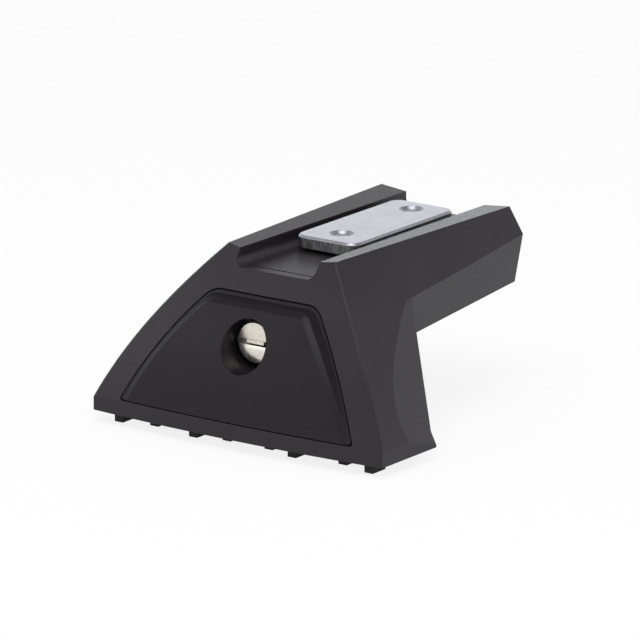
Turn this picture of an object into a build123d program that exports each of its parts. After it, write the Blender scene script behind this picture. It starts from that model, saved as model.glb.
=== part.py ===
from build123d import *
import math
import os

os.makedirs("parts", exist_ok=True)

# A roof bar foot: a cast leg with an arm that carries the bar, bolted to the roof behind a lockable cover.
# Frame: X along the base, Y inboard along the arm, Z up. Origin on the roof bolt's axis at roof level.

# Base of the casting
base_length = 140.0        # between the front corners
base_depth = 36.0
base_rear_length = 143.0   # the flanks open a little towards the rear
skirt_height = 6.0
underside_z = 4.5          # height of the casting above the roof, taken up by the pad's nubs
body_height = 68.7         # from the casting's underside to the top of the bar channel

# Front face, which leans back on an arc and bows in plan
plan_radius = 811.0
front_set_back = 32.9
front_sagitta = 2.8

# Flanks, arched at the front and straight at the arm's end
flank_front_gap = 6.0      # how far ahead of the base the front section is drawn
flank_sagitta = 3.8
top_front_width = 48.6
top_rear_width = 63.0

# Arm and back of the leg
arm_reach = 142.7          # front corners to the arm's end
arm_root_height = 33.0     # inner corner below the arm, above the casting's underside
arm_tip_height = 37.9
leg_back_set = 14.5        # how far the back of the leg leans over up to the inner corner
inner_corner_radius = 5.5
edge_chamfer = 0.6

# Creases on the flanks: the lower rear band is drafted inwards from these points (X, from front, height)
arm_crease_tip = (38.0, 57.6)
arm_crease_root = (42.5, 57.2, 52.4)
arm_tip_half_width = 34.3
leg_crease_top = (43.0, 51.0, 50.0)
leg_crease_foot = (71.0, 12.0, 6.0)
leg_back_edge = (53.5, 50.0, 30.0)

# Bar channel and its clamp plate
channel_width = 38.4
channel_floor_height = 61.4
channel_fillet = 3.5
wall_top_drop = 1.3        # the wall tops fall this much to the inside at the arm's end
floor_groove_set = 5.0
floor_groove_width = 0.9
floor_groove_depth = 0.5
plate_width = 29.8
plate_front = 58.9         # plate's front edge behind the front corners
plate_rear_set = 13.4      # plate's rear edge before the arm's end
plate_thickness = 5.0
plate_lift_off = 1.45      # low seats carry the plate above the channel floor
plate_corner_radius = 5.0
plate_edge_chamfer = 0.8
clamp_front = 70.9         # front clamp screw behind the front corners
clamp_rear_set = 23.8      # rear clamp screw before the arm's end
screw_radius = 3.0
thread_clearance = 0.05
screw_hole_clearance = 0.4
plate_hole_chamfer = 2.0
screw_tip_drop = 1.0       # the screw's end lies this far below the plate's top
screw_head_radius = 5.0
screw_head_height = 6.0
hex_across_flats = 5.0
hex_depth = 3.2
washer_radius = 6.0
washer_thickness = 1.6
seat_radius = 6.5

# Hollow below the arm
arm_wall = 4.5
arm_roof = 6.0
arm_pocket_corner = 4.0
arm_end_wall = 5.0
arm_boss_radius = 8.0
arm_boss_length = 9.0
arm_rib_thickness = 4.0
arm_rib_depth = 7.0
arm_pocket_lead = 10.9     # front of the hollow ahead of the front clamp screw

# Cover opening in the front face
cover_base_width = 112.0
cover_top_width = 50.0
cover_bottom_height = 6.9
cover_top_height = 52.8
cover_side_sagitta = 2.3
cover_corner_radius = 10.0
cover_foot_radius = 1.0
cover_gap = 0.5
cover_depth = 3.2          # along Y, from the face to the ledge behind the cover
cover_seat_clearance = 0.1
ledge_width = 3.5
leg_back_wall = 5.0

# Raised panel of the cover
panel_inset = 1.2
panel_top_proud = 4.4
panel_foot_height = 5.0    # here the panel's face rises out of the casting's, just below the cover
panel_top_height = 56.0
panel_sagitta = 3.6
panel_side_sagitta = 3.65  # of the panel's sides, on the plane that they are drawn on
panel_draft = 35.0         # slope of the panel's sides
panel_edge_chamfer = 1.5
panel_sink = 1.2           # the panel's sides start this deep inside the cover
panel_height = 7.2         # and are carried this far out before the panel's face trims them
panel_overrun = 18.0       # the panel is drawn this far past the cover's foot
panel_wall = 2.6           # along Y, at the ends of the hollow behind the panel
panel_core_inset = 7.0
tongue_width = 14.0
tongue_thickness = 2.4
tongue_length = 9.0
tongue_spacing = 66.0
tongue_clearance = 0.4

# Lock
lock_height = 35.9
lock_hole_radius = 10.4
lock_recess = 7.65         # from the panel's surface to the face of the plug
lock_boss_wall = 1.8
lock_boss_set_back = 1.4   # boss ends this far behind the panel's surface
lock_boss_rear = 12.0      # boss behind the housing's flange
plug_head_radius = 9.6
plug_head_length = 3.4
plug_head_chamfer = 1.6
plug_radius = 6.0
plug_fit = 0.05
housing_radius = 9.0
housing_fit = 0.05
flange_thickness = 2.0
flange_clearance = 0.25
housing_length = 15.0      # behind the flange
clip_thickness = 1.2
clip_width = 25.0
clip_height = 21.0
clip_crown = 3.0           # the clip's closed end stands this far above the housing
clip_neck = 16.4           # width left between the slots that the clip slides into
clip_fit = 0.05
key_slot_width = 2.1
key_slot_length = 8.4
key_slot_depth = 15.0
face_slot_depth = 1.6
wafer_count = 5
wafer_length = 10.4
wafer_height = 5.0
wafer_thickness = 0.9
wafer_rim = 0.9
wafer_start = 0.6          # first wafer behind the plug's head
wafer_pitch = 2.4
wafer_clearance = 0.1
tail_size = 6.0
tail_clearance = 0.05
cam_thickness = 2.5
cam_width = 10.0
cam_hub_radius = 6.2
cam_reach = 15.5
cam_room = 0.8
cam_gap = 0.2
cam_screw_radius = 1.9
cam_screw_head_radius = 3.8
cam_screw_head_height = 1.8
cam_screw_length = 6.0
cam_screw_fit = 0.05
cam_screw_slot = 0.9

# Roof bolt and rubber pad
bolt_hole_radius = 4.5
bolt_boss_radius = 7.5
bolt_seat_radius = 11.0
bolt_seat_depth = 0.6
pad_inset = 3.5
pad_thickness = 3.0
pad_clearance = 0.3
pad_corner_radius = 4.0
nub_width = 4.0
nub_length = 8.5
nub_outer_row = 8.4        # outer nubs' distance in from the front and rear edges
nub_inner_row = 11.95
nub_outer_places = (60.7, 24.0)
nub_inner_places = (45.8, 10.2)

# Places worked out from the sizes above
front_y = -base_depth / 2
rear_y = front_y + base_depth
arm_end_y = front_y + arm_reach
skirt_z = underside_z + skirt_height
top_z = underside_z + body_height
inner_corner = (rear_y + leg_back_set, underside_z + arm_root_height)
leg_back_slope = leg_back_set / (arm_root_height - skirt_height)
front_bow = plan_radius - math.sqrt(plan_radius**2 - (base_length / 2) ** 2)
centre_front_y = front_y - front_bow
bow_axis_y = centre_front_y + plan_radius
far = 400.0

channel_floor_z = underside_z + channel_floor_height
seat_z = channel_floor_z + plate_lift_off
plate_top_z = seat_z + plate_thickness
clamp_ys = (front_y + clamp_front, arm_end_y - clamp_rear_set)
arm_pocket_y = clamp_ys[0] - arm_pocket_lead
arm_pocket_end_y = arm_end_y - arm_end_wall
arm_roof_z = channel_floor_z - arm_roof
arm_boss_z = arm_roof_z - arm_boss_length
washer_z = arm_boss_z - washer_thickness
screw_hole_radius = screw_radius + screw_hole_clearance

cover_bottom_z = underside_z + cover_bottom_height
cover_top_z = underside_z + cover_top_height
cavity_floor_z = cover_bottom_z + ledge_width
pad_top_z = underside_z + pad_thickness


def place(point):
    """A point given as X, distance behind the front corners and height above the casting's underside."""
    return Vector(point[0], front_y + point[1], underside_z + point[2])


def section_plane(y):
    """A plane across the arm at y, with X to the right and Z up, facing the front."""
    return Plane.XZ.offset(-y)


def arc_y(foot, head, sagitta, z):
    """Where a leaning front's centre line, an arc from foot to head, stands at height z."""
    chord = Vector(head[0] - foot[0], head[1] - foot[1])
    radius = (chord.length**2 / 4 + sagitta**2) / (2 * sagitta)
    along = chord.normalized()
    centre_y = (foot[0] + head[0]) / 2 + along.Y * (radius - sagitta)
    centre_z = (foot[1] + head[1]) / 2 - along.X * (radius - sagitta)
    return centre_y - math.sqrt(radius**2 - (z - centre_z) ** 2)


def arc_points(foot, head, sagitta, *heights):
    """Points of that centre line at the given heights."""
    return [(arc_y(foot, head, sagitta, z), z) for z in heights]


def bowed_front(foot, head, sagitta=0.0, set_back=0.0):
    """All that lies behind a bowed front, moved inboard by set_back.

    Its centre line runs from foot to head, straight or on an arc of the given sagitta.
    """
    foot_r = bow_axis_y - foot[0] - set_back
    head_r = bow_axis_y - head[0] - set_back
    inner_r = foot_r - far
    with BuildPart() as block:
        with BuildSketch(Plane((0, bow_axis_y, 0), x_dir=(1, 0, 0), z_dir=(0, -1, 0))):
            with BuildLine():
                Polyline((head_r, head[1]), (head_r, far), (inner_r, far), (inner_r, -far), (foot_r, -far))
                Line((foot_r, -far), (foot_r, foot[1]))
                if sagitta:
                    SagittaArc((foot_r, foot[1]), (head_r, head[1]), -sagitta)
                else:
                    Line((foot_r, foot[1]), (head_r, head[1]))
            make_face()
        revolve(axis=Axis((0, bow_axis_y, 0), (0, 0, -1)), revolution_arc=180)
    return block.part


def skin_point(x, z):
    """The point of the casting's front face at x and height z."""
    radius = bow_axis_y - arc_y(skin_foot, skin_head, front_sagitta, z)
    return Vector(x, bow_axis_y - math.sqrt(radius**2 - x**2), z)


def beyond(first, second, third, outward):
    """A slab on the outward side of a plane through three points on the right, with its mirror image."""
    normal = (second - first).cross(third - first)
    if normal.dot(outward) < 0:
        normal = -normal
    with BuildPart() as slabs:
        with BuildSketch(Plane(first, x_dir=second - first, z_dir=normal)):
            Rectangle(far, far)
        extrude(amount=far / 4)
        split(bisect_by=Plane.YZ, keep=Keep.TOP)
        mirror(about=Plane.YZ)
    return slabs.part


def cover_prism(inset):
    """The cover's trapezoid with arched sides, moved in by inset and carried through the front of the leg."""
    foot_x = cover_base_width / 2
    head_x = cover_top_width / 2
    head_z = cover_top_z - cover_bottom_z
    with BuildPart() as prism:
        with BuildSketch(Plane((0, front_y, cover_bottom_z), x_dir=(1, 0, 0), z_dir=(0, -1, 0))) as outline:
            with BuildLine():
                right = SagittaArc((foot_x, 0), (head_x, head_z), -cover_side_sagitta)
                left = SagittaArc((-head_x, head_z), (-foot_x, 0), -cover_side_sagitta)
                Line(right @ 1, left @ 0)
                Line(left @ 1, right @ 0)
            make_face()
            fillet(outline.vertices().group_by(Axis.Y)[-1], cover_corner_radius)
            if inset:
                offset(amount=-inset, kind=Kind.INTERSECTION, mode=Mode.REPLACE)
            fillet(outline.vertices().group_by(Axis.Y)[0], cover_foot_radius)
        extrude(amount=far / 4, both=True)
    return prism.part


def base_sketch(inset, z):
    """The outline of the base, bowed at the front, moved in by inset."""
    rear_share = (base_depth + flank_front_gap) / (arm_reach + flank_front_gap)
    rear_x = (base_length + (base_rear_length - base_length) * rear_share) / 2
    with BuildSketch(Plane.XY.offset(z)) as outline:
        with BuildLine():
            front = SagittaArc((-base_length / 2, front_y), (base_length / 2, front_y), -front_bow)
            Polyline(front @ 1, (rear_x, rear_y), (-rear_x, rear_y), front @ 0)
        make_face()
        fillet(outline.vertices(), pad_corner_radius + pad_inset)
        offset(amount=-inset, mode=Mode.REPLACE)
    return outline.sketch


def arm_half_width(y):
    """Half the width of the arm along its lower edges at y."""
    lean = (arm_crease_tip[0] - arm_tip_half_width) / (arm_crease_tip[1] - arm_tip_height)
    root_x = arm_crease_root[0] - lean * (arm_crease_root[2] - arm_root_height)
    share = (arm_end_y - y) / (arm_reach - arm_crease_root[1])
    return arm_tip_half_width + (root_x - arm_tip_half_width) * share


def turned(*corners):
    """A piece turned on the lock's axis, from the (y, radius) corners of its half section."""
    with BuildPart() as piece:
        with BuildSketch(Plane.YZ):
            with BuildLine():
                Polyline(*[(y, lock_z + radius) for y, radius in corners], close=True)
            make_face()
        revolve(axis=Axis((0, 0, lock_z), (0, 1, 0)))
    return piece.part


# Front faces: the casting's, the ledge behind the cover and the cover's raised panel
skin_foot = (centre_front_y, skirt_z)
skin_head = (centre_front_y + front_set_back, top_z)
panel_foot_z = underside_z + panel_foot_height
panel_top_z = underside_z + panel_top_height
panel_foot = (arc_y(skin_foot, skin_head, front_sagitta, panel_foot_z), panel_foot_z)
panel_head = (arc_y(skin_foot, skin_head, front_sagitta, panel_top_z) - panel_top_proud, panel_top_z)
ledge_foot, ledge_head = arc_points(skin_foot, skin_head, front_sagitta,
                                    cover_bottom_z - 2 * cover_gap, cover_top_z + 2 * cover_gap)
back_foot, back_head = arc_points(panel_foot, panel_head, panel_sagitta,
                                  cover_bottom_z + panel_core_inset, cover_top_z - panel_core_inset)
front_skin = bowed_front(skin_foot, skin_head, front_sagitta)
ledge_skin = bowed_front(ledge_foot, ledge_head, set_back=cover_depth)
cover_back_skin = bowed_front(ledge_foot, ledge_head, set_back=cover_depth - cover_seat_clearance)
panel_skin = bowed_front(panel_foot, panel_head, panel_sagitta)
panel_back_skin = bowed_front(back_foot, back_head, set_back=panel_wall)
boss_skin = bowed_front(panel_foot, panel_head, panel_sagitta, lock_boss_set_back)
cover_block = cover_prism(0)
recess_block = cover_prism(-cover_gap)
cavity_block = cover_prism(ledge_width)
core_block = cover_prism(panel_core_inset)

# Lock stations along Y
lock_z = underside_z + lock_height
panel_lock_y = arc_y(panel_foot, panel_head, panel_sagitta, lock_z)
plug_face_y = panel_lock_y + lock_recess
flange_y = plug_face_y + plug_head_length
flange_rear_y = flange_y + flange_thickness
boss_rear_y = flange_rear_y + lock_boss_rear
housing_rear_y = flange_rear_y + housing_length
cam_y = housing_rear_y + cam_gap
cam_rear_y = cam_y + cam_thickness

# Flanks of the casting, ruled from an arched front section to a straight one at the arm's end
with BuildPart() as flanks:
    with BuildSketch(section_plane(front_y - flank_front_gap)):
        with BuildLine():
            foot_x = base_length / 2
            head_x = top_front_width / 2
            Polyline((-foot_x, skirt_z), (-foot_x, underside_z), (foot_x, underside_z), (foot_x, skirt_z))
            SagittaArc((foot_x, skirt_z), (head_x, top_z), -flank_sagitta)
            Line((head_x, top_z), (-head_x, top_z))
            SagittaArc((-head_x, top_z), (-foot_x, skirt_z), -flank_sagitta)
        make_face()
    with BuildSketch(section_plane(arm_end_y)):
        with BuildLine():
            foot_x = base_rear_length / 2
            head_x = top_rear_width / 2
            Polyline((-foot_x, skirt_z), (-foot_x, underside_z), (foot_x, underside_z), (foot_x, skirt_z))
            Polyline((foot_x, skirt_z), (head_x, top_z), (-head_x, top_z), (-foot_x, skirt_z))
        make_face()
    loft(ruled=True)

# Lower rear band of each flank, drafted inwards: it follows the arm behind the leg, and the leg before that
arm_tip = place((arm_crease_tip[0], arm_reach, arm_crease_tip[1]))
arm_tip_foot = place((arm_tip_half_width, arm_reach, arm_tip_height))
beside_arm = beyond(arm_tip, place(arm_crease_root), arm_tip_foot, Vector(1, 0, 0))
beside_leg = beyond(place(leg_crease_top), place(leg_crease_foot), place(leg_back_edge), Vector(1, 0, 0))
back_top_y = rear_y + leg_back_slope * (top_z - skirt_z)
behind_leg = ((rear_y, -far), (rear_y, skirt_z), (back_top_y, top_z), (far, top_z), (far, -far))
with BuildPart() as arm_band:
    add(beside_arm)
    with BuildSketch(Plane.YZ):
        with BuildLine():
            Polyline(*behind_leg, close=True)
        make_face()
    extrude(amount=far, both=True, mode=Mode.INTERSECT)
with BuildPart() as leg_band:
    add(beside_leg)
    add(beside_arm, mode=Mode.INTERSECT)
    with BuildSketch(Plane.YZ):
        with BuildLine():
            Polyline(*behind_leg, close=True)
        make_face()
    extrude(amount=far, both=True, mode=Mode.SUBTRACT)

# Cover opening: a shallow recess to the ledge, and the bolt's cavity behind it
with BuildPart() as cover_recess:
    add(recess_block)
    add(ledge_skin, mode=Mode.SUBTRACT)
cavity_back_y = rear_y - leg_back_wall * math.hypot(1, leg_back_slope)
with BuildPart() as cavity:
    add(cavity_block)
    with BuildSketch(Plane.YZ):
        with BuildLine():
            Polyline((-far, skirt_z), (cavity_back_y, skirt_z),
                     (cavity_back_y + back_top_y - rear_y, top_z), (-far, top_z), close=True)
        make_face()
    extrude(amount=far, both=True, mode=Mode.INTERSECT)

# Falling wall tops beside the bar channel
wall_front = Vector(top_front_width / 2, front_y - flank_front_gap, top_z)
wall_rear = Vector(top_rear_width / 2, arm_end_y, top_z)
wall_inner = Vector(channel_width / 2, arm_end_y, top_z - wall_top_drop)
above_walls = beyond(wall_front, wall_rear, wall_inner, Vector(0, 0, 1))
pad_recess = base_sketch(pad_inset, underside_z)

# Leg casting
with BuildPart() as leg_body:
    add(flanks.part)
    with BuildSketch(Plane.YZ) as profile:
        with BuildLine():
            Polyline((-far, underside_z), (rear_y, underside_z), (rear_y, skirt_z), inner_corner,
                     (arm_end_y, underside_z + arm_tip_height), (arm_end_y, top_z), (-far, top_z), close=True)
        make_face()
        fillet(profile.vertices().sort_by_distance(inner_corner)[0], inner_corner_radius)
    extrude(amount=far, both=True, mode=Mode.INTERSECT)
    add(arm_band.part, mode=Mode.SUBTRACT)
    add(leg_band.part, mode=Mode.SUBTRACT)
    add(front_skin, mode=Mode.INTERSECT)
    front_face = leg_body.faces().filter_by(GeomType.TORUS)[0]
    chamfer(front_face.edges().sort_by(Axis.Z)[1:], edge_chamfer)

    # Bar channel
    with BuildSketch(section_plane(arm_end_y)) as channel:
        with Locations((0, channel_floor_z)):
            Rectangle(channel_width, far / 4, align=(Align.CENTER, Align.MIN))
        fillet(channel.vertices().group_by(Axis.Y)[0], channel_fillet)
    extrude(amount=far, mode=Mode.SUBTRACT)
    add(above_walls, mode=Mode.SUBTRACT)
    floor_front_y = arc_y(skin_foot, skin_head, front_sagitta, channel_floor_z)
    with BuildSketch(Plane.XY.offset(channel_floor_z)):
        with Locations((0, floor_front_y + floor_groove_set)):
            Rectangle(channel_width - 2 * channel_fillet, floor_groove_width)
    extrude(amount=-floor_groove_depth, mode=Mode.SUBTRACT)

    # Cover opening, with a slot in its ceiling for the lock's cam
    add(cover_recess.part, mode=Mode.SUBTRACT)
    add(cavity.part, mode=Mode.SUBTRACT)
    cam_slot_left = cam_width / 2 + cam_room
    cam_slot_right = cam_reach / math.sqrt(2) + cam_room
    with BuildSketch(section_plane(cam_y - cam_room)):
        with Locations((-cam_slot_left, lock_z)):
            Rectangle(cam_slot_left + cam_slot_right, cam_reach + cam_room, align=Align.MIN)
    extrude(amount=-(cam_thickness + 2 * cam_room), mode=Mode.SUBTRACT)

    # Base: recess for the pad, and a boss that takes the roof bolt
    extrude(pad_recess, amount=pad_thickness, mode=Mode.SUBTRACT)
    with BuildSketch():
        Circle(bolt_boss_radius)
    extrude(amount=pad_top_z)
    with BuildSketch():
        Circle(bolt_hole_radius)
    extrude(amount=cavity_floor_z, mode=Mode.SUBTRACT)
    with BuildSketch(Plane.XY.offset(cavity_floor_z)):
        Circle(bolt_seat_radius)
    extrude(amount=-bolt_seat_depth, mode=Mode.SUBTRACT)

    # Hollow below the arm, with ribs and the bosses of the clamp screws
    hollow_front_x = arm_half_width(arm_pocket_y) - arm_wall
    hollow_end_x = arm_half_width(arm_pocket_end_y) - arm_wall
    with BuildSketch(Plane.XY.offset(inner_corner[1])) as hollow:
        with BuildLine():
            Polyline((-hollow_front_x, arm_pocket_y), (hollow_front_x, arm_pocket_y),
                     (hollow_end_x, arm_pocket_end_y), (-hollow_end_x, arm_pocket_end_y), close=True)
        make_face()
        fillet(hollow.vertices(), arm_pocket_corner)
    extrude(amount=arm_roof_z - inner_corner[1], mode=Mode.SUBTRACT)
    with BuildSketch(Plane.XY.offset(arm_roof_z)):
        with Locations((0, (arm_pocket_y + arm_pocket_end_y) / 2)):
            Rectangle(arm_rib_thickness, arm_pocket_end_y - arm_pocket_y + arm_end_wall)
        for clamp_y in clamp_ys:
            with Locations((0, clamp_y)):
                Rectangle(2 * arm_half_width(clamp_y) - arm_wall, arm_rib_thickness)
    extrude(amount=-arm_rib_depth)
    with BuildSketch(Plane.XY.offset(arm_roof_z)):
        with Locations(*[(0, clamp_y) for clamp_y in clamp_ys]):
            Circle(arm_boss_radius)
    extrude(amount=-arm_boss_length)
    with BuildSketch(Plane.XY.offset(channel_floor_z)):
        with Locations(*[(0, clamp_y) for clamp_y in clamp_ys]):
            Circle(seat_radius)
    extrude(amount=plate_lift_off)
    with BuildSketch(Plane.XY.offset(seat_z)):
        with Locations(*[(0, clamp_y) for clamp_y in clamp_ys]):
            Circle(screw_hole_radius)
    extrude(amount=arm_boss_z - seat_z, mode=Mode.SUBTRACT)

leg_body.part.label = "leg_body"
export_step(leg_body.part, "parts/leg_body.step")

# Rubber pad in the base, standing on rows of nubs, with none at the rear corners
pad_face = base_sketch(pad_inset + pad_clearance, underside_z)
nub_outer_y = base_depth / 2 - nub_outer_row
nub_inner_y = base_depth / 2 - nub_inner_row
front_nubs = [(x, -nub_outer_y) for x in nub_outer_places] + [(x, -nub_inner_y) for x in nub_inner_places]
rear_nubs = [(x, -y) for x, y in front_nubs[1:]]
with BuildPart() as base_pad:
    extrude(pad_face, amount=pad_thickness)
    with BuildSketch():
        with Locations(*[(side * x, y) for x, y in front_nubs + rear_nubs for side in (-1, 1)]):
            Rectangle(nub_width, nub_length)
    extrude(amount=underside_z)
    with BuildSketch(Plane.XY.offset(pad_top_z)):
        Circle(bolt_boss_radius + pad_clearance)
    extrude(amount=-pad_thickness, mode=Mode.SUBTRACT)

base_pad.part.label = "base_pad"
export_step(base_pad.part, "parts/base_pad.step")

# Raised panel of the cover: its right half on a plane through three points of the front face, and its image
panel_middle = skin_point(0, cover_top_z)
panel_corner = skin_point(cover_top_width / 2, cover_top_z)
panel_heel = skin_point(cover_base_width / 2, cover_bottom_z)
panel_plane = Plane(panel_middle, x_dir=panel_corner - panel_middle,
                    z_dir=(panel_heel - panel_middle).cross(panel_corner - panel_middle))
corner = panel_plane.to_local_coords(panel_corner)
heel = panel_plane.to_local_coords(panel_heel)


def panel_section(rise):
    """The panel's right half at a rise above its plane, smaller the higher it lies."""
    with BuildSketch(panel_plane.offset(rise)) as section:
        with BuildLine():
            side = SagittaArc((heel.X, heel.Y), (corner.X, corner.Y), -panel_side_sagitta)
            toe = side @ 0 - (side % 0) * panel_overrun
            Polyline(side @ 1, (-corner.X, corner.Y), (-corner.X, toe.Y), toe, side @ 0)
        make_face()
        fillet(section.vertices().sort_by_distance((corner.X, corner.Y))[0], cover_corner_radius)
        inset = panel_inset + rise * math.tan(math.radians(panel_draft))
        offset(amount=-inset, kind=Kind.INTERSECTION, mode=Mode.REPLACE)
    return section.sketch


with BuildPart() as panel:
    loft([panel_section(-panel_sink), panel_section(panel_height)], ruled=True)
    add(panel_skin, mode=Mode.INTERSECT)
    split(bisect_by=Plane.XY.offset(cover_bottom_z), keep=Keep.TOP)
    panel_face = panel.faces().filter_by(GeomType.TORUS)[0]
    chamfer(panel_face.edges().sort_by(Axis.X)[1:].sort_by(Axis.Z)[1:], panel_edge_chamfer)
    split(bisect_by=Plane.YZ, keep=Keep.TOP)
    mirror(about=Plane.YZ)
    add(cover_block, mode=Mode.INTERSECT)
with BuildPart() as panel_core:
    add(core_block)
    add(panel_back_skin, mode=Mode.INTERSECT)
with BuildPart() as lock_boss:
    with BuildSketch(section_plane(boss_rear_y)):
        with Locations((0, lock_z)):
            Circle(lock_hole_radius + lock_boss_wall)
    extrude(amount=boss_rear_y - front_y)
    add(boss_skin, mode=Mode.INTERSECT)

# Front cover
with BuildPart() as front_cover:
    add(cover_block)
    add(front_skin, mode=Mode.INTERSECT)
    add(panel.part)
    add(cover_back_skin, mode=Mode.SUBTRACT)
    add(panel_core.part, mode=Mode.SUBTRACT)
    add(lock_boss.part)
    with BuildSketch(section_plane(flange_rear_y)):
        with Locations((0, lock_z)):
            Circle(lock_hole_radius)
    extrude(amount=far / 4, mode=Mode.SUBTRACT)
    with BuildSketch(section_plane(boss_rear_y)):
        with Locations((0, lock_z)):
            Circle(housing_radius + housing_fit)
    extrude(amount=far / 4, mode=Mode.SUBTRACT)
    tongue_z = cavity_floor_z + tongue_clearance
    tongue_y = skin_point(0, cover_bottom_z).Y + cover_depth
    with BuildSketch(section_plane(tongue_y + tongue_length)):
        with Locations((-tongue_spacing / 2, tongue_z), (tongue_spacing / 2, tongue_z)):
            Rectangle(tongue_width, tongue_thickness, align=(Align.CENTER, Align.MIN))
    extrude(amount=tongue_length)

front_cover.part.label = "front_cover"
export_step(front_cover.part, "parts/front_cover.step")

# Lock housing, a flanged sleeve that reaches through the boss, with a slot on each side for its clip
bore_radius = plug_radius + plug_fit
flange_radius = lock_hole_radius - flange_clearance
lock_sleeve = turned((flange_y, bore_radius), (flange_y, flange_radius),
                     (flange_rear_y, flange_radius), (flange_rear_y, housing_radius),
                     (housing_rear_y, housing_radius), (housing_rear_y, bore_radius))
with BuildPart() as lock_housing:
    add(lock_sleeve)
    with BuildSketch(section_plane(boss_rear_y)):
        with Locations((0, lock_z)):
            Rectangle(2 * housing_radius, 2 * housing_radius)
            Rectangle(clip_neck, 2 * housing_radius, mode=Mode.SUBTRACT)
    extrude(amount=-(clip_thickness + clip_fit), mode=Mode.SUBTRACT)

lock_housing.part.label = "lock_housing"
export_step(lock_housing.part, "parts/lock_housing.step")

# Spring clip, a flat fork slid down into the housing's slots behind the boss
with BuildPart() as lock_clip:
    with BuildSketch(section_plane(boss_rear_y)):
        with Locations((0, lock_z + housing_radius + clip_crown)):
            Rectangle(clip_width, clip_height, align=(Align.CENTER, Align.MAX))
        with Locations((0, lock_z + housing_radius + clip_fit)):
            Rectangle(clip_neck + 2 * clip_fit, clip_height,
                      align=(Align.CENTER, Align.MAX), mode=Mode.SUBTRACT)
    extrude(amount=-clip_thickness)

lock_clip.part.label = "lock_clip"
export_step(lock_clip.part, "parts/lock_clip.step")

# Lock plug, with a slotted head, a keyway crossed by the wafers, and a square tail for the cam
wafer_ys = [flange_y + wafer_start + index * wafer_pitch for index in range(wafer_count)]
plug_blank = turned((plug_face_y, 0), (plug_face_y, plug_head_radius - plug_head_chamfer),
                    (plug_face_y + plug_head_chamfer, plug_head_radius), (flange_y, plug_head_radius),
                    (flange_y, plug_radius), (housing_rear_y, plug_radius), (housing_rear_y, 0))
with BuildPart() as lock_plug:
    add(plug_blank)
    with BuildSketch(section_plane(plug_face_y)):
        with Locations((0, lock_z)):
            Rectangle(2 * plug_head_radius, key_slot_width)
    extrude(amount=-face_slot_depth, mode=Mode.SUBTRACT)
    with BuildSketch(section_plane(plug_face_y)):
        with Locations((0, lock_z)):
            Rectangle(key_slot_length, key_slot_width)
    extrude(amount=-key_slot_depth, mode=Mode.SUBTRACT)
    for wafer_y in wafer_ys:
        with BuildSketch(section_plane(wafer_y - wafer_clearance)):
            with Locations((0, lock_z)):
                Rectangle(2 * plug_radius, wafer_height + 2 * wafer_clearance)
        extrude(amount=-(wafer_thickness + 2 * wafer_clearance), mode=Mode.SUBTRACT)
    with BuildSketch(section_plane(housing_rear_y)):
        with Locations((0, lock_z)):
            Rectangle(tail_size, tail_size)
    extrude(amount=-(cam_gap + cam_thickness - tail_clearance))
    with BuildSketch(section_plane(cam_rear_y)):
        with Locations((0, lock_z)):
            Circle(cam_screw_radius + cam_screw_fit)
    extrude(amount=cam_screw_length + tail_clearance, mode=Mode.SUBTRACT)

lock_plug.part.label = "lock_plug"
export_step(lock_plug.part, "parts/lock_plug.step")

# Wafers of the lock
for number, wafer_y in enumerate(wafer_ys, start=1):
    with BuildPart() as lock_wafer:
        with BuildSketch(section_plane(wafer_y)):
            with Locations((0, lock_z)):
                Rectangle(wafer_length, wafer_height)
                Rectangle(wafer_length - 2 * wafer_rim, wafer_height - 2 * wafer_rim, mode=Mode.SUBTRACT)
        extrude(amount=-wafer_thickness)
    lock_wafer.part.label = f"lock_wafer_{number}"
    export_step(lock_wafer.part, f"parts/lock_wafer_{number}.step")

# Cam on the plug's tail, lying to the right when the cover is free
with BuildPart() as lock_cam:
    with BuildSketch(section_plane(cam_y)):
        with Locations(((cam_reach - cam_width / 2) / 2, lock_z)):
            SlotOverall(cam_reach + cam_width / 2, cam_width)
        with Locations((0, lock_z)):
            Circle(cam_hub_radius)
            Rectangle(tail_size + 2 * tail_clearance, tail_size + 2 * tail_clearance, mode=Mode.SUBTRACT)
    extrude(amount=-cam_thickness)

lock_cam.part.label = "lock_cam"
export_step(lock_cam.part, "parts/lock_cam.step")

# Screw that holds the cam
cam_screw_end_y = cam_rear_y - cam_screw_length
cam_screw_blank = turned((cam_screw_end_y, 0), (cam_screw_end_y, cam_screw_radius),
                         (cam_rear_y, cam_screw_radius), (cam_rear_y, cam_screw_head_radius),
                         (cam_rear_y + cam_screw_head_height, cam_screw_head_radius),
                         (cam_rear_y + cam_screw_head_height, 0))
with BuildPart() as lock_cam_screw:
    add(cam_screw_blank)
    with BuildSketch(section_plane(cam_rear_y + cam_screw_head_height)):
        with Locations((0, lock_z)):
            Rectangle(cam_screw_head_radius, cam_screw_slot)
            Rectangle(cam_screw_slot, cam_screw_head_radius)
    extrude(amount=cam_screw_head_height / 2, mode=Mode.SUBTRACT)

lock_cam_screw.part.label = "lock_cam_screw"
export_step(lock_cam_screw.part, "parts/lock_cam_screw.step")

# Clamp plate in the bar channel, with two threaded holes
plate_length = arm_reach - plate_front - plate_rear_set
plate_y = front_y + plate_front + plate_length / 2
with BuildPart() as clamp_plate:
    with BuildSketch(Plane.XY.offset(seat_z)):
        with Locations((0, plate_y)):
            RectangleRounded(plate_width, plate_length, plate_corner_radius)
        with Locations(*[(0, clamp_y) for clamp_y in clamp_ys]):
            Circle(screw_radius + thread_clearance, mode=Mode.SUBTRACT)
    extrude(amount=plate_thickness)
    rims = clamp_plate.faces().sort_by(Axis.Z)[-1]
    hole_rims = rims.edges().filter_by(GeomType.CIRCLE).group_by(SortBy.RADIUS)[0]
    chamfer(rims.outer_wire().edges(), plate_edge_chamfer)
    chamfer(hole_rims, plate_hole_chamfer)

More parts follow.
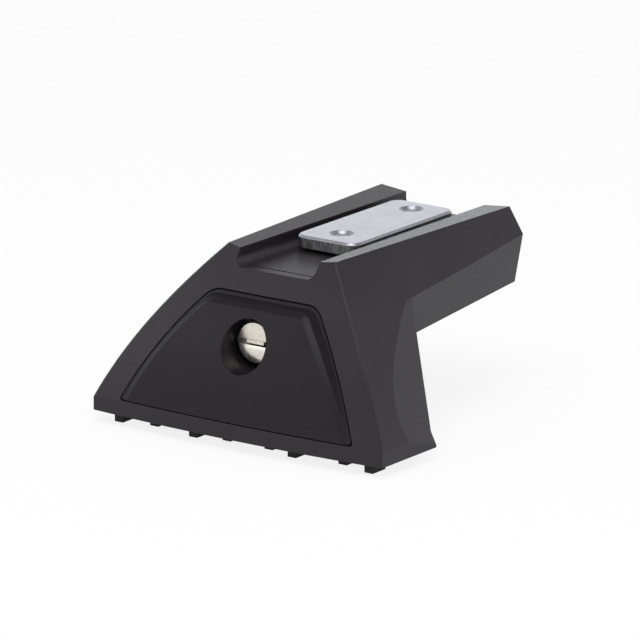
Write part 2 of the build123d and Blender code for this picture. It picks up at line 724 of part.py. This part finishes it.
clamp_plate.part.label = "clamp_plate"
export_step(clamp_plate.part, "parts/clamp_plate.step")

# Clamp screws, put in from below the arm, and their washers
head_z = washer_z - screw_head_height
for name, clamp_y in zip(("front", "rear"), clamp_ys):
    with BuildPart() as clamp_screw:
        with BuildSketch(Plane.XY.offset(head_z)):
            with Locations((0, clamp_y)):
                Circle(screw_head_radius)
        extrude(amount=screw_head_height)
        with BuildSketch(Plane.XY.offset(washer_z)):
            with Locations((0, clamp_y)):
                Circle(screw_radius)
        extrude(amount=plate_top_z - screw_tip_drop - washer_z)
        with BuildSketch(Plane.XY.offset(head_z)):
            with Locations((0, clamp_y)):
                RegularPolygon(hex_across_flats / 2, side_count=6, major_radius=False)
        extrude(amount=hex_depth, mode=Mode.SUBTRACT)
    clamp_screw.part.label = f"{name}_clamp_screw"
    export_step(clamp_screw.part, f"parts/{name}_clamp_screw.step")

    with BuildPart() as clamp_washer:
        with BuildSketch(Plane.XY.offset(washer_z)):
            with Locations((0, clamp_y)):
                Circle(washer_radius)
                Circle(screw_hole_radius, mode=Mode.SUBTRACT)
        extrude(amount=washer_thickness)
    clamp_washer.part.label = f"{name}_clamp_washer"
    export_step(clamp_washer.part, f"parts/{name}_clamp_washer.step")
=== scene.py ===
import math

import bmesh
import bpy
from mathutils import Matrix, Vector


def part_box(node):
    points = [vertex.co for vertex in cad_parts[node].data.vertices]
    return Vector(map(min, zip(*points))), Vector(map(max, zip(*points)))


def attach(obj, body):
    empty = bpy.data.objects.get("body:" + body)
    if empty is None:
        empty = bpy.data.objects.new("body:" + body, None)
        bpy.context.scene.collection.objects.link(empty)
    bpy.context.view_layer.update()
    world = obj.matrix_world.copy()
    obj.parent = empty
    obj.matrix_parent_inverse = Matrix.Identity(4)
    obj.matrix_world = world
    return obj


# A roof bar foot, dressed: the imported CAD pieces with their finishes, on a pale studio floor.
# Lengths are in millimetres unless a line says otherwise.

MM = 0.001

# Camera: where the photograph was taken from
CAMERA_AZIMUTH = 35.805
CAMERA_ELEVATION = 15.347
CAMERA_DISTANCE = 2688.6
CAMERA_TARGET = (4.50, 32.0, 42.13)
CAMERA_CLIP_METRES = 20.0
FOCAL_PIXELS = 6816.4
IMAGE_PIXELS = 640
SENSOR_WIDTH = 36.0

# Floor and world: levels are strengths, where 1 is white
FLOOR_REACH_METRES = 12.0
FLOOR_DROP = 0.05          # below the nubs, so that the two faces don't share a plane
FLOOR_GREY = 0.93
FLOOR_ROUGHNESS = 0.9
FLOOR_GLOW = 0.85          # share of white where the floor is looked at
FLOOR_GLOW_MIRRORED = 0.4  # and where it is seen in a reflection
CEILING_LEVEL = 0.3        # what a reflection sees overhead
CEILING_START = 0.32       # upward part of the direction at which the horizon starts to darken
CEILING_END = 0.7
DIFFUSE_LEVEL = 0.45       # the world as a light

# Softboxes: place, width and height in metres, and power in watts
LIGHT_TARGET = (0, 0.04, 0.04)
SOFTBOXES = {
    "fill": ((0.3, 0.2, 1.6), 2.2, 2.2, 8.0),
    "key": ((0.2, -0.45, 1.3), 0.9, 0.8, 7.0),
    "right": ((1.5, -0.4, 0.65), 0.9, 0.9, 4.0),
    "left": ((-1.25, -0.95, 0.9), 1.0, 1.0, 3.5),
    "back": ((-0.95, 1.2, 0.12), 1.2, 0.22, 2.0),
}
BACK_COLOUR = (0.84, 0.92, 1.0)

# Key slot in the plug's face and the sprung shutter behind it
KEY_SLOT_LENGTH = 8.4
KEY_SLOT_WIDTH = 2.1
SHUTTER_CLEARANCE = 0.08
SHUTTER_GAP = 0.55         # left open below the shutter
SHUTTER_DEPTH = 0.35       # behind the plug's face, at the top
SHUTTER_LEAN = 0.22        # nearer the face than that at the lower edge
SHUTTER_THICKNESS = 0.4
SHUTTER_STEPS = 8

# Lower half of the plug's face: how far it tilts up, as a slope, at the slot and at the rim
DISH_SLOPE_SLOT = 0.40
DISH_SLOPE_RIM = -0.08
DISH_RIM = 8.4

# Textures and nodes
TEXTURE_LOW = 0.3          # the part of a texture's range that is spread out
TEXTURE_HIGH = 0.7
NOISE_ROUGHNESS = 0.55
BEVEL_SAMPLES = 6
MIX_VALUE_INPUTS = (0, 2, 3)
MIX_VALUE_OUTPUT = 0
MIX_COLOUR_INPUTS = (0, 6, 7)
MIX_COLOUR_OUTPUT = 2

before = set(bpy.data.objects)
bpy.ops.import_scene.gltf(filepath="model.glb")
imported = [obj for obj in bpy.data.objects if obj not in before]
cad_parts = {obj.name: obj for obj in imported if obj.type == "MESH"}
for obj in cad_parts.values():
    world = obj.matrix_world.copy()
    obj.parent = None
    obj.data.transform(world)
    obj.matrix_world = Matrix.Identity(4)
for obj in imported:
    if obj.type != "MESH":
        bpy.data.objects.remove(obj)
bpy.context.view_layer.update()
lock_low, lock_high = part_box("lock_plug")
lock_centre = (lock_low + lock_high) / 2


def new_material(name):
    """A node material and its shader."""
    material = bpy.data.materials.new(name)
    material.use_nodes = True
    return material, material.node_tree.nodes["Principled BSDF"]


def new_metal(name):
    """The same for bare metal."""
    material, shader = new_material(name)
    shader.inputs["Metallic"].default_value = 1.0
    return material, shader


def add_node(material, kind, **values):
    """A node with the given properties and input values."""
    node = material.node_tree.nodes.new(kind)
    for key, value in values.items():
        if hasattr(node, key):
            setattr(node, key, value)
        else:
            node.inputs[key.replace("_", " ")].default_value = value
    return node


def link(material, source, target):
    """Joins an output to an input."""
    material.node_tree.links.new(source, target)


def place_coordinates(material, centre=(0, 0, 0), stretch=(1, 1, 1)):
    """Object coordinates in metres about a centre, each axis multiplied by its stretch."""
    coordinates = add_node(material, "ShaderNodeTexCoord")
    mapping = add_node(material, "ShaderNodeMapping")
    mapping.inputs["Scale"].default_value = stretch
    mapping.inputs["Location"].default_value = [-c * s for c, s in zip(centre, stretch)]
    link(material, coordinates.outputs["Object"], mapping.inputs["Vector"])
    return mapping.outputs["Vector"]


def noise(material, vector, size, detail):
    """Noise whose patches are about size metres across."""
    node = add_node(material, "ShaderNodeTexNoise", Scale=1 / size, Detail=detail, Roughness=NOISE_ROUGHNESS)
    link(material, vector, node.inputs["Vector"])
    return node.outputs["Fac"]


def cells(material, vector, size):
    """The distance from the middle of cells that are about size metres across."""
    node = add_node(material, "ShaderNodeTexVoronoi", Scale=1 / size)
    link(material, vector, node.inputs["Vector"])
    return node.outputs["Distance"]


def calculate(material, operation, *values):
    """A sum on outputs and plain numbers."""
    node = add_node(material, "ShaderNodeMath", operation=operation)
    for socket, value in zip(node.inputs, values):
        if isinstance(value, (int, float)):
            socket.default_value = value
        else:
            link(material, value, socket)
    return node.outputs["Value"]


def span(material, value, low, high, start=TEXTURE_LOW, end=TEXTURE_HIGH):
    """Spreads start to end over low to high."""
    node = add_node(material, "ShaderNodeMapRange")
    node.inputs["From Min"].default_value = start
    node.inputs["From Max"].default_value = end
    node.inputs["To Min"].default_value = low
    node.inputs["To Max"].default_value = high
    link(material, value, node.inputs["Value"])
    return node.outputs["Result"]


def blend_colours(material, value, dark, light):
    """A ramp from dark to light over the middle of a texture."""
    node = add_node(material, "ShaderNodeValToRGB")
    node.color_ramp.elements[0].position = TEXTURE_LOW
    node.color_ramp.elements[0].color = (*dark, 1)
    node.color_ramp.elements[1].position = TEXTURE_HIGH
    node.color_ramp.elements[1].color = (*light, 1)
    link(material, value, node.inputs["Fac"])
    return node.outputs["Color"]


def bump(material, height, distance, under=None):
    """A bump of distance metres, on top of another one."""
    node = add_node(material, "ShaderNodeBump", Strength=1.0, Distance=distance)
    link(material, height, node.inputs["Height"])
    if under is not None:
        link(material, under, node.inputs["Normal"])
    return node.outputs["Normal"]


def rounded(material, radius):
    """The normal with sharp edges eased over a radius in metres."""
    return add_node(material, "ShaderNodeBevel", samples=BEVEL_SAMPLES, Radius=radius).outputs["Normal"]


def sideways(material):
    """0 on faces that look up or down, 1 on upright ones."""
    upright = 0.45
    level = 0.9
    coordinates = add_node(material, "ShaderNodeTexCoord")
    axes = add_node(material, "ShaderNodeSeparateXYZ")
    link(material, coordinates.outputs["Normal"], axes.inputs["Vector"])
    upward = calculate(material, "ABSOLUTE", axes.outputs["Z"])
    return span(material, upward, 1.0, 0.0, upright, level)


def mix_values(material, factor, first, second):
    """first where the factor is 0, second where it is 1."""
    node = add_node(material, "ShaderNodeMix", data_type="FLOAT")
    for source, socket in zip((factor, first, second), MIX_VALUE_INPUTS):
        link(material, source, node.inputs[socket])
    return node.outputs[MIX_VALUE_OUTPUT]


def mix_colours(material, factor, first, second):
    """The same for colours."""
    node = add_node(material, "ShaderNodeMix", data_type="RGBA")
    for source, socket in zip((factor, first, second), MIX_COLOUR_INPUTS):
        link(material, source, node.inputs[socket])
    return node.outputs[MIX_COLOUR_OUTPUT]


def shades(colour, spread):
    """A darker and a lighter form of a colour."""
    return [c * (1 - spread) for c in colour], [c * (1 + spread) for c in colour]


def powder_coat(name):
    """Satin black powder coat: a soft orange peel with a fine grain, a little uneven in gloss."""
    black = (0.0190, 0.0160, 0.0205)
    black_spread = 0.12
    drift_size = 22 * MM
    peel_size = 1.1 * MM
    peel_height = 0.010 * MM
    grain_size = 0.28 * MM
    grain_height = 0.006 * MM
    edge_radius = 0.25 * MM
    material, shader = new_material(name)
    shader.inputs["Specular IOR Level"].default_value = 0.28
    place = place_coordinates(material)
    drift = noise(material, place, drift_size, detail=4)
    peel = noise(material, place, peel_size, detail=2)
    grain = noise(material, place, grain_size, detail=2)
    colour = blend_colours(material, drift, *shades(black, black_spread))
    link(material, colour, shader.inputs["Base Color"])
    link(material, span(material, peel, 0.31, 0.40), shader.inputs["Roughness"])
    normal = bump(material, peel, peel_height, under=rounded(material, edge_radius))
    link(material, bump(material, grain, grain_height, under=normal), shader.inputs["Normal"])
    return material


def moulded_plastic(name):
    """Black moulded plastic with the fine texture of an eroded mould."""
    black = (0.0095, 0.0074, 0.0098)
    black_spread = 0.1
    drift_size = 30 * MM
    pit_size = 0.45 * MM
    pit_depth = 0.010 * MM
    grain_size = 0.22 * MM
    grain_height = 0.005 * MM
    edge_radius = 0.25 * MM
    material, shader = new_material(name)
    shader.inputs["Specular IOR Level"].default_value = 0.23
    place = place_coordinates(material)
    drift = noise(material, place, drift_size, detail=3)
    pits = cells(material, place, pit_size)
    grain = noise(material, place, grain_size, detail=2)
    colour = blend_colours(material, drift, *shades(black, black_spread))
    link(material, colour, shader.inputs["Base Color"])
    link(material, span(material, grain, 0.36, 0.46), shader.inputs["Roughness"])
    normal = bump(material, pits, pit_depth, under=rounded(material, edge_radius))
    link(material, bump(material, grain, grain_height, under=normal), shader.inputs["Normal"])
    return material


def rubber(name):
    """Moulded rubber, dull, with a dusty bloom."""
    black = (0.014, 0.014, 0.0145)
    black_spread = 0.25
    bloom_size = 9 * MM
    grain_size = 0.4 * MM
    grain_height = 0.03 * MM
    material, shader = new_material(name)
    place = place_coordinates(material)
    bloom = noise(material, place, bloom_size, detail=5)
    grain = noise(material, place, grain_size, detail=3)
    colour = blend_colours(material, bloom, *shades(black, black_spread))
    link(material, colour, shader.inputs["Base Color"])
    link(material, span(material, bloom, 0.68, 0.82), shader.inputs["Roughness"])
    link(material, bump(material, grain, grain_height), shader.inputs["Normal"])
    return material


def plated_sheet(name):
    """Bright zinc on a cut plate: faint crystals, a fine grain, and duller streaks down the sheared edges."""
    zinc = (0.585, 0.605, 0.66)
    zinc_spread = 0.05
    sheared_dark = (0.14, 0.14, 0.145)
    sheared_light = (0.40, 0.40, 0.41)
    crystal_size = 2.6 * MM
    crystal_height = 0.004 * MM
    crystal_edge = 0.8
    cloud_size = 12 * MM
    streak_size = 4 * MM
    streak_stretch = (9, 0.6, 9)
    streak_height = 0.006 * MM
    tear_size = 0.5 * MM
    tear_stretch = (1, 1, 0.12)
    edge_radius = 0.4 * MM
    material, shader = new_metal(name)
    place = place_coordinates(material)
    crystals = cells(material, place, crystal_size)
    streaks = noise(material, place_coordinates(material, stretch=streak_stretch), streak_size, detail=4)
    cloud = noise(material, place, cloud_size, detail=4)
    edge = sideways(material)
    tears = noise(material, place_coordinates(material, stretch=tear_stretch), tear_size, detail=4)
    face_colour = blend_colours(material, cloud, *shades(zinc, zinc_spread))
    edge_colour = blend_colours(material, tears, sheared_dark, sheared_light)
    link(material, mix_colours(material, edge, face_colour, edge_colour), shader.inputs["Base Color"])
    face_rough = span(material, crystals, 0.28, 0.38, 0.0, crystal_edge)
    edge_rough = span(material, tears, 0.36, 0.5)
    link(material, mix_values(material, edge, face_rough, edge_rough), shader.inputs["Roughness"])
    normal = bump(material, streaks, streak_height, under=rounded(material, edge_radius))
    link(material, bump(material, crystals, crystal_height, under=normal), shader.inputs["Normal"])
    return material


def turned_metal(name, colour, roughness, ring, axis, centre):
    """Metal with fine rings from the lathe about an axis through a centre."""
    colour_spread = 0.08
    ring_wander = 1.5
    ring_height = 0.004 * MM
    cloud_size = 2.5 * MM
    material, shader = new_metal(name)
    place = place_coordinates(material, centre)
    rings = add_node(material, "ShaderNodeTexWave", wave_type="RINGS", rings_direction=axis, Scale=1 / ring)
    rings.inputs["Distortion"].default_value = ring_wander
    link(material, place, rings.inputs["Vector"])
    cloud = noise(material, place, cloud_size, detail=4)
    skin_colour = blend_colours(material, cloud, *shades(colour, colour_spread))
    link(material, skin_colour, shader.inputs["Base Color"])
    link(material, span(material, cloud, roughness - 0.04, roughness + 0.06), shader.inputs["Roughness"])
    link(material, bump(material, rings.outputs["Fac"], ring_height), shader.inputs["Normal"])
    return material


def dished(material, height):
    """A hollow below the key slot, in millimetres: its slope runs evenly from the slot to the rim."""
    slot = KEY_SLOT_WIDTH / 2
    turn = (DISH_SLOPE_SLOT - DISH_SLOPE_RIM) / (DISH_RIM - slot)
    below = calculate(material, "MINIMUM", height, -slot * MM)
    millimetres = calculate(material, "DIVIDE", below, MM)
    slope = calculate(material, "MULTIPLY_ADD", millimetres, -turn / 2, -(DISH_SLOPE_SLOT + turn * slot))
    return calculate(material, "MULTIPLY", slope, millimetres)


def bright_nickel(name, centre):
    """Nickel on the plug: satin above the key slot, polished and a little dished below it."""
    nickel = (0.73, 0.69, 0.63)
    nickel_spread = 0.08
    cloud_size = 2.5 * MM
    scratch_size = 0.3 * MM
    scratch_depth = 0.003 * MM
    edge_radius = 0.3 * MM
    material, shader = new_metal(name)
    place = place_coordinates(material, centre)
    axes = add_node(material, "ShaderNodeSeparateXYZ")
    link(material, place, axes.inputs["Vector"])
    polished = span(material, axes.outputs["Z"], 1.0, 0.0, -KEY_SLOT_WIDTH * MM, -KEY_SLOT_WIDTH / 2 * MM)
    cloud = noise(material, place, cloud_size, detail=4)
    colour = blend_colours(material, cloud, *shades(nickel, nickel_spread))
    link(material, colour, shader.inputs["Base Color"])
    satin = span(material, cloud, 0.2, 0.3)
    mirror = span(material, cloud, 0.16, 0.23)
    link(material, mix_values(material, polished, satin, mirror), shader.inputs["Roughness"])
    scratches = noise(material, place, scratch_size, detail=3)
    normal = bump(material, scratches, scratch_depth, under=rounded(material, edge_radius))
    dish = dished(material, axes.outputs["Z"])
    link(material, bump(material, dish, MM, under=normal), shader.inputs["Normal"])
    return material


def cast_metal(name, colour, roughness, grain):
    """Metal with an uneven skin, as cast, tumbled or stamped."""
    colour_spread = 0.15
    cloud_size = 3 * MM
    skin_height = 0.012 * MM
    material, shader = new_metal(name)
    place = place_coordinates(material)
    cloud = noise(material, place, cloud_size, detail=5)
    skin = noise(material, place, grain, detail=3)
    skin_colour = blend_colours(material, cloud, *shades(colour, colour_spread))
    link(material, skin_colour, shader.inputs["Base Color"])
    link(material, span(material, skin, roughness - 0.06, roughness + 0.08), shader.inputs["Roughness"])
    link(material, bump(material, skin, skin_height), shader.inputs["Normal"])
    return material


# Finishes, by the record's material slots
finishes = {
    "leg_coat": powder_coat("leg_coat"),
    "cover_plastic": moulded_plastic("cover_plastic"),
    "pad_rubber": rubber("pad_rubber"),
    "plate_zinc": plated_sheet("plate_zinc"),
    "screw_steel": turned_metal("screw_steel", (0.5, 0.5, 0.52), 0.32, 0.4 * MM, "Z", (0, 0, 0)),
    "washer_steel": cast_metal("washer_steel", (0.52, 0.52, 0.54), 0.36, 0.3 * MM),
    "lock_nickel": bright_nickel("lock_nickel", lock_centre),
    "lock_zinc": cast_metal("lock_zinc", (0.3, 0.3, 0.31), 0.42, 0.5 * MM),
    "spring_steel": cast_metal("spring_steel", (0.28, 0.28, 0.3), 0.34, 0.2 * MM),
    "wafer_brass": cast_metal("wafer_brass", (0.72, 0.55, 0.28), 0.36, 0.25 * MM),
}
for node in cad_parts.values():
    for holder in node.material_slots:
        holder.material = finishes[holder.material.name.split(".")[0]]


def add_key_shutter():
    """A sprung flap just inside the key slot, which leans out towards its lower edge."""
    half = (KEY_SLOT_LENGTH / 2 - SHUTTER_CLEARANCE) * MM
    top = lock_centre.z + (KEY_SLOT_WIDTH / 2 - SHUTTER_CLEARANCE) * MM
    drop = (KEY_SLOT_WIDTH - SHUTTER_CLEARANCE - SHUTTER_GAP) * MM
    front = []
    for step in range(SHUTTER_STEPS + 1):
        share = step / SHUTTER_STEPS
        depth = (SHUTTER_DEPTH - SHUTTER_LEAN * share) * MM
        front.append((lock_low.y + depth, top - drop * share))
    outline = front + [(y + SHUTTER_THICKNESS * MM, z) for y, z in reversed(front)]
    builder = bmesh.new()
    left = [builder.verts.new((lock_centre.x - half, y, z)) for y, z in outline]
    right = [builder.verts.new((lock_centre.x + half, y, z)) for y, z in outline]
    builder.faces.new(left)
    builder.faces.new(right)
    for index in range(len(outline)):
        builder.faces.new((left[index - 1], left[index], right[index], right[index - 1]))
    bmesh.ops.recalc_face_normals(builder, faces=builder.faces)
    mesh = bpy.data.meshes.new("key_shutter")
    builder.to_mesh(mesh)
    builder.free()
    mesh.materials.append(finishes["lock_nickel"])
    shutter = bpy.data.objects.new("key_shutter", mesh)
    bpy.context.scene.collection.objects.link(shutter)
    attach(shutter, "plug")


add_key_shutter()


def aim(item, target):
    """Turns a camera or light to look at a point."""
    item.rotation_mode = "QUATERNION"
    item.rotation_quaternion = (target - item.location).to_track_quat("-Z", "Y")


def add_softbox(name, location, width, height, power):
    """A rectangular area light aimed at the object, in metres and watts."""
    lamp = bpy.data.lights.new(name, "AREA")
    lamp.shape = "RECTANGLE"
    lamp.size = width
    lamp.size_y = height
    lamp.energy = power
    softbox = bpy.data.objects.new(name, lamp)
    softbox.location = location
    softbox.visible_camera = False
    bpy.context.scene.collection.objects.link(softbox)
    aim(softbox, Vector(LIGHT_TARGET))
    return softbox


# Camera
azimuth = math.radians(CAMERA_AZIMUTH)
elevation = math.radians(CAMERA_ELEVATION)
level = math.cos(elevation)
away = Vector((math.sin(azimuth) * level, -math.cos(azimuth) * level, math.sin(elevation)))
camera_target = Vector(CAMERA_TARGET) * MM
camera_data = bpy.data.cameras.new("camera")
camera_data.sensor_width = SENSOR_WIDTH
camera_data.lens = FOCAL_PIXELS / IMAGE_PIXELS * SENSOR_WIDTH
camera_data.clip_end = CAMERA_CLIP_METRES
camera = bpy.data.objects.new("camera", camera_data)
camera.location = camera_target + away * CAMERA_DISTANCE * MM
bpy.context.scene.collection.objects.link(camera)
aim(camera, camera_target)
bpy.context.scene.camera = camera

# Floor, nearly white where it is looked at, with a soft shadow of the object
near = -FLOOR_REACH_METRES
beyond = FLOOR_REACH_METRES
floor_corners = [(near, near, 0), (beyond, near, 0), (beyond, beyond, 0), (near, beyond, 0)]
floor_mesh = bpy.data.meshes.new("floor")
floor_mesh.from_pydata(floor_corners, [], [(0, 1, 2, 3)])
floor = bpy.data.objects.new("floor", floor_mesh)
floor.location.z = -FLOOR_DROP * MM
bpy.context.scene.collection.objects.link(floor)
floor_finish, floor_shader = new_material("floor")
floor_shader.inputs["Base Color"].default_value = (FLOOR_GREY, FLOOR_GREY, FLOOR_GREY, 1)
floor_shader.inputs["Roughness"].default_value = FLOOR_ROUGHNESS
floor_mesh.materials.append(floor_finish)
floor_path = add_node(floor_finish, "ShaderNodeLightPath").outputs
floor_glossy = floor_path["Is Glossy Ray"]
floor_bounced = calculate(floor_finish, "MAXIMUM", floor_glossy, floor_path["Is Transmission Ray"])
floor_direct = span(floor_finish, floor_path["Is Camera Ray"], 0.0, FLOOR_GLOW, 0.0, 1.0)
floor_mirrored = span(floor_finish, floor_bounced, 0.0, FLOOR_GLOW_MIRRORED, 0.0, 1.0)
floor_glow = add_node(floor_finish, "ShaderNodeEmission", Strength=1.0)
floor_mix = add_node(floor_finish, "ShaderNodeMixShader")
floor_output = floor_finish.node_tree.nodes["Material Output"]
link(floor_finish, calculate(floor_finish, "MAXIMUM", floor_direct, floor_mirrored), floor_mix.inputs[0])
link(floor_finish, floor_shader.outputs["BSDF"], floor_mix.inputs[1])
link(floor_finish, floor_glow.outputs["Emission"], floor_mix.inputs[2])
link(floor_finish, floor_mix.outputs["Shader"], floor_output.inputs["Surface"])

# World: white to the eye, in reflections white at the horizon with a darker ceiling, and dimmer as a light
world = bpy.data.worlds.new("studio")
world.use_nodes = True
bpy.context.scene.world = world
background = world.node_tree.nodes["Background"]
background.inputs["Color"].default_value = (1, 1, 1, 1)
path = add_node(world, "ShaderNodeLightPath").outputs
mirrored = calculate(world, "MAXIMUM", path["Is Glossy Ray"], path["Is Transmission Ray"])
direction = add_node(world, "ShaderNodeTexCoord")
upward = add_node(world, "ShaderNodeSeparateXYZ")
link(world, direction.outputs["Generated"], upward.inputs["Vector"])
ceiling = span(world, upward.outputs["Z"], 1.0, CEILING_LEVEL, CEILING_START, CEILING_END)
diffuse = span(world, path["Is Camera Ray"], DIFFUSE_LEVEL, 1.0, 0.0, 1.0)
link(world, mix_values(world, mirrored, diffuse, ceiling), background.inputs["Strength"])

# Lights: the fill isn't seen in reflections, and the back one is a little cool
softboxes = {name: add_softbox(name, *values) for name, values in SOFTBOXES.items()}
softboxes["fill"].visible_glossy = False
softboxes["back"].data.color = BACK_COLOUR

bpy.context.scene.view_settings.view_transform = "Standard"
